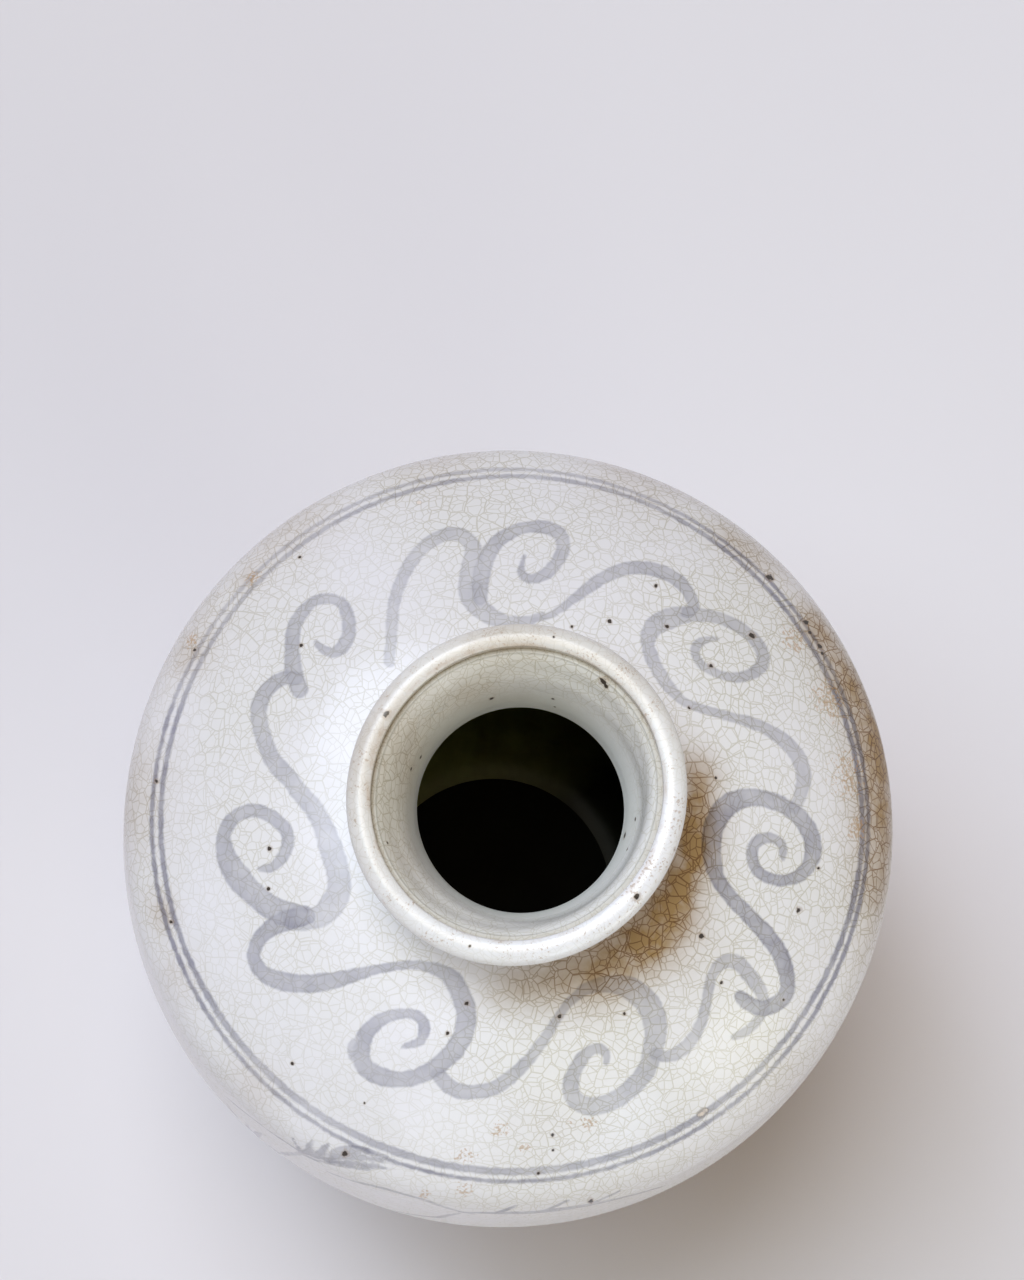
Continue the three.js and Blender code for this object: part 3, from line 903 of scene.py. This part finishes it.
right_curl = [
    (78, -0.5, 2), (77.2, 3, 2.6), (73.5, 4.2, 3), (69.7, 2.2, 3.3), (68.8, -2, 3.5), (71, -5.8, 3.3),
    (75.5, -7.3, 3.2), (81, -6.3, 3.3), (85, -3, 4), (86.8, 2, 5), (85.8, 7, 5.5), (82, 11.5, 5.3),
    (77, 13.8, 5), (71, 14.8, 5), (65, 14, 5.3), (60, 11, 6.3), (56.8, 6, 6.6), (56, 0.5, 6.5),
    (57.3, -5, 5.8), (60, -10.5, 4.6), (65, -15, 4.2), (71, -19, 4.6), (77, -23, 5), (82, -27.5, 5),
    (85.2, -33, 4.8), (85.8, -38, 4.6), (83, -41.5, 4.5), (79, -43.3, 4.5), (75, -42.8, 4.3),
    (72.5, -41.5, 4)]
upper_right_stem = [
    (79.5, 14, 3.5), (80.5, 19, 4), (80.9, 23, 4.6), (79.5, 27.5, 5), (76, 31.3, 4.8), (70, 34.4, 4),
    (63, 35.8, 3.4), (56, 36.1, 2.9), (48, 36.6, 2.6), (42, 37.9, 2.9), (36.5, 42, 3.9), (32.3, 47.5, 4.4),
    (30, 53, 4.2), (31, 58, 5.5), (35, 61.5, 6.5), (40, 64, 5), (46, 65.2, 4.2), (52, 65, 4), (58, 63, 4),
    (62.5, 59.5, 4), (64.2, 55.5, 4), (62, 51, 3.6), (57, 48.3, 3.1), (51.5, 48, 2.8), (46.5, 49.5, 2.7),
    (43.9, 53, 2.8), (45.3, 56.8, 2.5), (49.8, 58.7, 1.5)]
top_stem = [
    (-4, 53.5, 1.8), (1, 56, 2), (6, 60.5, 2.5), (11, 66.5, 3.5), (16, 71.5, 4), (22, 75.2, 4.2),
    (29, 76.3, 4.5), (35, 75, 4.5), (39.5, 71.5, 4), (41.8, 67, 3.5), (40, 64.5, 4)]
upper_left_stem = [
    (-42, 35, 3), (-42.3, 43, 3.3), (-43.2, 52, 3.6), (-42.5, 60, 3.8), (-40.5, 67, 4), (-37, 73, 4.3),
    (-32, 77, 4.5), (-27, 77, 4.5), (-23.5, 73, 5), (-23, 66, 6.5), (-22, 59, 7), (-18, 54, 6),
    (-12, 52, 4.2), (-6, 53, 3), (-1, 55.5, 2.2)]
top_curl = [
    (-8.6, 73.5, 0.8), (-9, 70, 1.5), (-8.3, 67, 2.6), (-5.5, 66.2, 3), (-2.2, 68, 3.5), (0.5, 72, 3.8),
    (2, 77, 4), (1, 81.5, 4.2), (-3, 83.7, 4.5), (-9, 83, 4), (-14, 80, 4.2), (-17.5, 76, 4.5),
    (-19.5, 70, 5), (-20, 63, 5), (-19, 57.5, 4)]
# Strokes in each layer, with the load of the brush at their start and at their end.
scroll = (
    ((0.68, 0.78, left_curl), (0.78, 0.84, lower_left_curl), (0.74, 0.78, bottom_stem),
     (0.88, 1.15, right_curl), (0.68, 0.88, top_stem), (0.76, 0.70, top_curl)),
    ((0.80, 0.60, left_stem), (0.84, 0.72, lower_right_stem), (0.64, 0.76, upper_right_stem),
     (0.55, 0.64, upper_left_stem)),
    ((0.84, 0.80, lower_left_stem), (0.5, 0.7, lower_left_spur)),
)
scroll_layers = [[(start, end, brushed(stroke)) for start, end, stroke in layer] for layer in scroll]

# Tips of the longest reeds and leaves, which bend over just under the ring lines: azimuth in degrees,
# height and width in mm.
reed_tips = [
    [(-115.1, 229.6, 1.2), (-113.6, 226, 1.7), (-112.9, 223, 2)],
    [(-112.2, 233.4, 1), (-112.4, 231, 2), (-112.2, 228.5, 2.2), (-112.6, 225.5, 2)],
    [(-110, 235.1, 1), (-110.3, 232.6, 2.1), (-110.6, 229.6, 2.3), (-111.2, 227, 2)],
    [(-109.6, 230.6, 1.2), (-108, 235.2, 2.2), (-105.6, 237.4, 2.4), (-103, 238.4, 1.8),
     (-100.6, 238.6, 0.8)],
    [(-109.4, 229.2, 1.2), (-107.4, 233.4, 2.2), (-104.8, 235.6, 2.2), (-102, 237, 1.6), (-99.6, 237.6, 0.8)],
    [(-109.2, 227.8, 1), (-106.8, 231.8, 1.8), (-104.2, 234, 1.6), (-101.2, 235.8, 1)],
    [(-108.6, 232.8, 1.8), (-106.6, 235.6, 1.6), (-104.4, 236.8, 1)],
    [(-112.6, 225.2, 1.4), (-109.6, 228.6, 1.5), (-106.8, 230.8, 1.2), (-104.6, 232.2, 0.8)],
    [(-110.2, 226.2, 1.2), (-107.8, 228.8, 1.1), (-105.6, 230.6, 0.7)],
    [(-106.2, 230.2, 1), (-104.2, 232.2, 1.1), (-102.2, 233.4, 0.7)],
    [(-104, 233.2, 1), (-101.6, 235, 1.1), (-99, 236, 0.7)],
    [(-112.9, 222.5, 2.2), (-111.2, 224.2, 1.8), (-109.6, 226, 1)],
    [(-127, 211, 1.3), (-121.4, 220, 1.5), (-116.2, 223.5, 1.5), (-113, 223.5, 1.6)],
    [(-108.4, 216, 1.4), (-104.5, 222.5, 1.6), (-100.9, 226.5, 1.6), (-97, 227.5, 1.5), (-93.5, 227, 1.7),
     (-89.2, 222.6, 1.9), (-86, 217.5, 1.4)],
    [(-88, 219, 1.6), (-84, 222.5, 3.2), (-77.3, 223, 4), (-71.2, 223, 4.2), (-64.9, 220.5, 3.6),
     (-59.6, 213, 2.4), (-57, 206, 1.4)],
    [(-82.5, 224, 1.7), (-81, 227.5, 1.5), (-79.8, 229.5, 1.2)],
    [(-76, 224, 1.6), (-73.5, 228, 1.4), (-72, 230, 1.2)],
    [(-69, 224, 1.6), (-66, 227, 1.4), (-64.2, 228.5, 1.2)],
]
tip_loads = (1.0, 0.7, 0.9, 0.6, 0.85)
side_layer = side_strokes + [
    (tip_loads[number % len(tip_loads)], 0.75, brushed(on_side(tip))) for number, tip in enumerate(reed_tips)]

# Iron specks on the dome: x, y and size in mm, seen from above.
dome_specks = [
    (30, 71, 1.3), (18.3, 57.2, 1.5), (8, 53.5, 1.2), (35, 59, 1.3), (60, 62.3, 2.0), (49, 50, 1.7),
    (44.5, 36, 1.1), (55, 17.5, 0.9), (85, -14, 1.7), (58, -27, 1.7), (66, -38.5, 1.1), (22, -56, 1.5),
    (40, -52, 1.2), (-4, -56.5, 1.5), (-8, -65.5, 1.2), (-50, -80, 1.1), (26, -88, 1.1), (-66, -22.5, 1.6),
    (-64.5, -33.5, 1.2), (-73, 65, 1.3), (-67.5, 37, 1.2), (63.5, 83, 2.4), (76, 71.5, 2.0),
    (77.5, 68.5, 1.3), (81, 65, 1.9), (82, 63, 1.2), (-91.5, -45.5, 1.3), (-103, -6, 1.4), (89, -1, 1.0),
    (40.5, -104, 1.5), (85, -39.5, 0.9), (-99, 34, 1.2), (-31.3, -102.4, 1.9), (26.9, -92.1, 1.0),
    (23.9, -99, 1.1), (-28, -87.7, 0.8)]
# Chips in the turn, rubbed down to the clay, and brown scuffs: x, y, length along the ring and size.
chips = ((67.5, -74.5, 3.2, 3.7), (-41.5, 86.5, 0.8, 1.6))
scuffs = (
    (10.9, -88.8, 4.2, 5.0), (35.4, -83.4, 3.4, 4.3), (29.7, -83.9, 1.2, 2.0), (18.8, -92.6, 2.2, 3.2),
    (2.3, -97.6, 4.5, 5.4), (-7, -109.8, 1.5, 2.8), (3.9, -106.8, 4, 5), (72.5, 64.2, 6, 8),
    (85.5, 48.7, 9, 11.5), (93.9, 27.6, 10, 12.5), (98.9, 13.1, 4, 6.5), (-86.1, 57.5, 3, 4.6),
    (-100.4, 37, 3, 4.6))


def oblong(tree, flat, marks):
    """Least share of a mark's size at a place: the sum of the distances to both ends of its length."""
    least = None
    for x, y, length, size in marks:
        middle = np.array((x, y, 0))
        half = np.array((-y, x, 0)) / np.hypot(x, y) * length / 2
        gaps = [vector_calc(tree, "DISTANCE", flat, (middle + side * half) * mm) for side in (-1, 1)]
        total = calc(tree, "DIVIDE", calc(tree, "ADD", *gaps), size * mm)
        least = total if least is None else calc(tree, "MINIMUM", least, total)
    return least


def near_azimuth(tree, spot, azimuth, sharpness):
    """About 1 on the ring lines at an azimuth and 0 on the other side: the share of the way towards
    it, raised to the sharpness."""
    turn = radians(azimuth)
    towards = (cos(turn) / (ring_reach * mm), sin(turn) / (ring_reach * mm), 0)
    share = calc(tree, "MAXIMUM", vector_calc(tree, "DOT_PRODUCT", spot, towards), 0.0)
    return calc(tree, "POWER", share, sharpness)


def scroll_and_rings(tree, spot):
    """The scroll in three layers, a little darker where they cross, the reed tips, and the two ring
    lines with their slight sway. The inner line is broader and paler towards the front. The brush was
    fullest on the right, towards +X, and nearly dry at the back."""
    first, second, third, tips = (stroke_layer(tree, spot, number) for number in (1, 2, 3, 4))
    strongest = calc(tree, "MAXIMUM", calc(tree, "MAXIMUM", first, second), third)
    together = calc(tree, "ADD", calc(tree, "ADD", first, second), third)
    crossed = calc(tree, "MULTIPLY", calc(tree, "SUBTRACT", together, strongest), 0.22)
    amounts = [calc(tree, "ADD", strongest, crossed), tips]
    swayed = calc(tree, "MULTIPLY_ADD", noise(tree, spot, 9.0, 1.0), ring_sway * mm, off_axis(tree, spot))
    load = graded(tree, noise(tree, spot, 17.0), 0.35, 0.65, 0.85, 1.2)
    front = graded(tree, place(tree, "SeparateXYZ", {0: spot}).outputs["Y"], -50 * mm, -98 * mm)
    fuller = near_azimuth(tree, spot, full_side, 3.0)
    drier = near_azimuth(tree, spot, dry_side, 2.0)
    for ring_radius, half_width, front_half, front_load, dry_load, bent_at, aside in ring_lines:
        bent = near_azimuth(tree, spot, bent_at, 12.0)
        drawn = calc(tree, "MULTIPLY_ADD", bent, aside * mm, swayed)
        half = calc(tree, "MULTIPLY_ADD", front, front_half, half_width)
        laid = calc(tree, "MULTIPLY_ADD", front, front_load, load)
        laid = calc(tree, "MULTIPLY_ADD", fuller, 0.35, laid)
        laid = calc(tree, "MULTIPLY_ADD", drier, dry_load, laid)
        amounts.append(painted_line(tree, spot, drawn, ring_radius + ring_sway / 2, half, laid))
    return amounts


def dome_wear(tree, spot):
    """Scuffs, and chips that show pinkish clay inside a dark broken edge."""
    flat = from_above(tree, spot)
    ragged = noise(tree, spot, 1100.0, 3.0)
    rub = calc(tree, "ADD", oblong(tree, flat, scuffs), calc(tree, "MULTIPLY_ADD", ragged, 3.8, -1.75))
    chip = calc(tree, "ADD", oblong(tree, flat, chips), calc(tree, "MULTIPLY_ADD", ragged, 0.35, -0.17))
    return [(graded(tree, rub, 1.0, 0.75, 0.0, 0.55), screen(176, 136, 86)),
            (graded(tree, chip, 1.18, 1.05, 0.0, 0.45), screen(110, 92, 72)),
            (graded(tree, chip, 0.98, 0.86), screen(226, 214, 204))]


above_belly = outside[:np.argmax(outside[:, 0])]


def dome_point(x, y):
    """Point of the outside above a place seen from above."""
    return (x, y, float(np.interp(np.hypot(x, y), above_belly[:, 0], above_belly[:, 1])))


# Dirt and painted shade on the dome, placed as seen from above: x, y, radius in mm and strength. The patches
# beside the mouth on its right and lower right are painted shadow of the mouth over brown staining; the broad
# ones along the left edge are painted shade; those on the right turn are partly staining and partly painted
# shade; the rest are small stains and faint darkening near the edges.
dome_soil_and_shade = [(*dome_point(x, y), size, strength) for x, y, size, strength in (
    (48, 3, 8, 0.8), (50, 17, 7, 0.6), (47, -14, 9, 0.75), (43, -27, 11, 0.66), (33, -37, 11, 0.65),
    (33, -46, 8, 0.25), (53, -6, 7, 0.4), (55, 6, 6, 0.25), (20, -45, 10, 0.5), (7, -49, 8, 0.35),
    (56, -32, 14, 0.1), (107, 20, 13, 0.8), (103, 40, 12, 1.1), (92, 57, 11, 0.85), (80, 71, 9, 0.7),
    (60, 88, 9, 0.3), (109, 0, 12, 0.6), (50, 93, 7, 0.3), (-87, 58, 5, 0.2), (-95, -43, 6, 0.35),
    (-100, 33, 6, 0.2), (-60, -88, 9, 0.2), (30, -84, 12, 0.1), (-88, -60, 9, 0.15), (90, -60, 12, 0.1),
    (20, 108, 18, 0.2), (-40, 103, 18, 0.2), (-111, -10, 20, 0.3), (-104, 38, 20, 0.22), (-80, 76, 20, 0.26),
    (48.5, 9.5, 4.5, 0.42), (45, 19, 4, 0.22), (53, -4, 5, 0.35), (51, -24, 6.5, 0.38), (43.5, -34, 6, 0.34),
    (47.5, -15, 4, 0.25), (39.5, -30, 4, 0.25), (108, -20, 9, 0.12))]
shoulder_glaze = glaze("shoulder_glaze", paint=scroll_and_rings, specks=dome_specks, worn=dome_wear)

bore = np.vstack([
    sweep((ledge_radius, ledge_height), 130, (bend_radius, bend_height), 112),
    sweep((bend_radius, bend_height), 106, (throat_radius, throat_edge_height), 94)[1:],
])


def on_bore(azimuth, height, size):
    """A speck on the bore, given by its azimuth in degrees and its height, settled with the neck."""
    radius = np.interp(-height, -bore[:, 1], bore[:, 0])
    turn = radians(azimuth)
    return (*settled(np.array([(radius * cos(turn), radius * sin(turn), height)]))[0], size)


def bore_crackle(tree, spot):
    """The funnel is crackled all over. Below the bend the glaze lies thicker and stays whole."""
    return graded(tree, height_of(tree, spot), 275 * mm, 285 * mm, 0.12, 0.95)


def throat_edge(tree, spot):
    """Greenish where the glaze lies thick in the throat, a dark green line along its edge, and a grey
    ring on the ledge under the mouth, which is painted shadow of the step."""
    height = height_of(tree, spot)
    return [(graded(tree, height, 284 * mm, 272 * mm, 0.0, 0.3), screen(240, 248, 238)),
            (graded(tree, height, 266.4 * mm, 265.6 * mm, 0.0, 0.9), screen(26, 42, 32)),
            # Painted shadow of the step on the ledge.
            (graded(tree, height, 295.8 * mm, 296.5 * mm, 0.0, 0.55), screen(150, 146, 132))]


# Dirt and painted shade in the bore and on the lip: x, y, z, radius in mm and strength. The patches on top of
# the lip, on its left and back, are painted shade; the others make the funnel browner on its left and in the
# throat.
bore_soil_and_shade = [
    (-34, 14, 292, 15, 0.2), (-30, -22, 291, 15, 0.18), (0, -37, 292, 12, 0.06), (30, 22, 292, 12, 0.05),
    (-29, 4, 278, 10, 0.3), (-43, 8, 300, 15, 0.18), (-43, -7, 299, 13, 0.12), (-10, 42, 300, 16, 0.26),
    (24, 36, 300, 13, 0.14), (-19, 26, 284, 9, 0.25), (-10, 28, 273, 9, 0.22)]
# The bore's white is painted brighter than the dome's, as painted light in the funnel, which the lamps leave
# darker.
bore_glaze = glaze("bore_glaze", 200.0, 0.55, bore_crackle, specks=[
    on_bore(115, 276.6, 1.5), on_bore(83, 276.6, 1.0), on_bore(164, 276.6, 1.2), on_bore(172, 280.4, 1.1),
    on_bore(210, 294.6, 0.9), on_bore(354, 271.6, 2.0), on_bore(2, 278.7, 1.1), on_bore(346, 278.7, 0.9),
    on_bore(81, 271.6, 0.8), on_bore(62, 296, 2.4), on_bore(60, 295.4, 1.8)], worn=throat_edge,
    front_white=(255, 254, 253), back_white=(255, 254, 253))

side_bottom = upper_joint_height + slip_thickness
outer_row = stretch(outside, neck_foot_height, side_bottom)
inner_row = stretch(inside, neck_foot_height, side_bottom)
inner_row = inner_row[inner_row[:, 0] > throat_radius + throat_rounding]
bore_at_seat = stretch(bore, neck_foot_height, throat_edge_height)[0]
bore_at_edge = stretch(bore, throat_edge_height + throat_rounding, throat_edge_height)[0]
ceiling_start = (throat_radius + throat_rounding, throat_edge_height)
ceiling = inside[np.argmax(inside[:, 0] > ceiling_start[0]):]
ceiling = stretch(ceiling, ceiling[0, 1], side_bottom)
shoulder, points = turned("shoulder_glazed", [
    (shoulder_glaze, spaced(outer_row, dome_spacing)[::-1]),
    (joint_slip, straight((neck_foot_radius, neck_foot_height), bore_at_seat)),
    (bore_glaze, spaced([bore_at_seat, bore_at_edge], dome_spacing)),
    (bore_glaze, bend(bore_at_edge, (throat_radius, throat_edge_height), ceiling_start, steps=7)),
    (dark_inside, spaced(np.vstack([[ceiling_start], ceiling[1:]]), inside_spacing)),
    (joint_slip, straight(ceiling[-1], outer_row[-1])),
], settled)
paint_on(shoulder, points, (*scroll_layers, side_layer))
neck_crease = (neck_foot_radius, neck_foot_height, 2.5, 0.35)
soil_and_shade_on(shoulder, points, dome_soil_and_shade + side_soil, [neck_crease])
stands_for(shoulder, "shoulder")


# Neck. A short flared collar thrown by itself, luted onto the dome with slip and glazed with it. Its
# bore narrows from a funnel to the throat, with a faint ring at the bend.
neck_top_height = 291
neck_waist_height = 279.3
neck_top_wall = 5
neck_waist_wall = 4.4
neck_spacing = 0.8
neck_bottom = neck_foot_height + slip_thickness
rim_bottom = neck_top_height + slip_thickness
bore_end = stretch(bore, neck_top_height, neck_waist_height)
neck_top = bore_end[0] + (neck_top_wall, 0)
neck_waist = bore_end[-1] + (neck_waist_wall, 0)
neck_outside = np.vstack([
    sweep(neck_top, 128, neck_waist, 90),
    sweep(neck_waist, 90, (neck_foot_radius, neck_foot_height), 22)[1:],
])
neck_glaze = glaze("neck_glaze")
# The collar takes the first two dome patches, painted shadow of the mouth, and the bore's dirt and painted
# shade.
neck_soil_and_shade = dome_soil_and_shade[:2] + bore_soil_and_shade


def collar(name, node, bottom, top):
    """A ring of the neck between two levels, glazed outside and in the bore."""
    outer = stretch(neck_outside, top, bottom)
    inner = stretch(bore, top, bottom)
    ring, ring_points = turned(name, [
        (neck_glaze, spaced(outer, neck_spacing)[::-1]),
        (joint_slip, straight(outer[0], inner[0])),
        (bore_glaze, spaced(inner, neck_spacing)),
        (joint_slip, straight(inner[-1], outer[-1])),
    ], settled)
    soil_and_shade_on(ring, ring_points, neck_soil_and_shade, [neck_crease])
    stands_for(ring, node)


collar("neck_seam_luted", "neck_seam", neck_foot_height, neck_bottom)
collar("neck_glazed", "neck", neck_bottom, neck_top_height)
collar("rim_seam_luted", "rim_seam", neck_top_height, rim_bottom)


# Mouth. A coil joined to the collar and rolled outwards on the wheel, with a rounded crown. Inside it
# an upright step goes down to a narrow ledge, where the funnel starts. The edges are worn and speckled.
mouth_radius = 40.2
crown_radius = 43.2
widest = (46.9, 296.4)
edge_drop = 1.1
worn_edge_radius = 40.7
worn_side_height = 295.4
rim_spacing = 0.45


def mouth_wear(tree, spot):
    """Reddish flecks where the glaze is thin: a broad band on the crown, and a line at both edges."""
    height = height_of(tree, spot)
    grains = noise(tree, spot, 1300.0)
    drifts = noise(tree, spot, 120.0, 3.0)
    flecks = graded(tree, calc(tree, "MULTIPLY_ADD", drifts, 0.7, grains), 0.97, 1.08)
    thin = graded(tree, drifts, 0.42, 0.6)
    high = graded(tree, height, 297.2 * mm, 298.6 * mm)
    off_edge = calc(tree, "ABSOLUTE", calc(tree, "SUBTRACT", off_axis(tree, spot), worn_edge_radius * mm))
    edge = graded(tree, off_edge, 1.0 * mm, 0.1 * mm)
    off_side = calc(tree, "ABSOLUTE", calc(tree, "SUBTRACT", height, worn_side_height * mm))
    side = graded(tree, off_side, 1.2 * mm, 0.2 * mm)
    wears = ((edge, thin, 0.35, screen(170, 136, 98)), (side, thin, 0.45, screen(168, 140, 108)),
             (flecks, high, 0.5, screen(158, 122, 84)))
    return [(calc(tree, "MULTIPLY", calc(tree, "MULTIPLY", where, how_much), strength), tone)
            for where, how_much, strength, tone in wears]


mouth_specks = [
    (-38.9, 15.4, 299.6, 2.4), (36.7, -23.0, 299.9, 2.2), (45.6, -8.4, 298.4, 1.6), (17.0, 35.4, 296.6, 2.0),
    (18.9, 34.3, 296.4, 2.3), (-6, -43.5, 299.9, 0.9), (3, 44, 299.9, 0.9)]
# The lip's white is painted whiter in front and greyer at the back, as painted light and shade.
mouth_glaze = glaze("mouth_glaze", 205.0, crack_strength=0.35, specks=mouth_specks, worn=mouth_wear,
                    front_white=(248, 248, 254), back_white=(236, 233, 230))
underside = np.array((np.interp(-rim_bottom, -neck_outside[:, 1], neck_outside[:, 0]), rim_bottom))
crown = (crown_radius, mouth_height)
mouth_edge = (mouth_radius, mouth_height - edge_drop)
step_foot = (mouth_radius, ledge_height)
funnel = stretch(bore, ledge_height, rim_bottom)
mouth_rim, points = turned("mouth_rolled", [
    (mouth_glaze, np.vstack([
        spaced(sweep(widest, 90, underside, 180), rim_spacing)[::-1],
        spaced(sweep(crown, 0, widest, 90), rim_spacing)[::-1][1:],
        bend(crown, (mouth_radius, mouth_height), mouth_edge)[1:]])),
    (mouth_glaze, spaced([mouth_edge, step_foot], rim_spacing)),
    (bore_glaze, spaced([step_foot, funnel[0]], rim_spacing)),
    (bore_glaze, spaced(funnel, rim_spacing)),
    (joint_slip, straight(funnel[-1], underside)),
], settled)
# The ring at the ledge is painted shadow under the step of the mouth's inner edge.
soil_and_shade_on(mouth_rim, points, bore_soil_and_shade, [(mouth_radius, ledge_height, 0.9, 0.3)])
stands_for(mouth_rim, "mouth_rim")
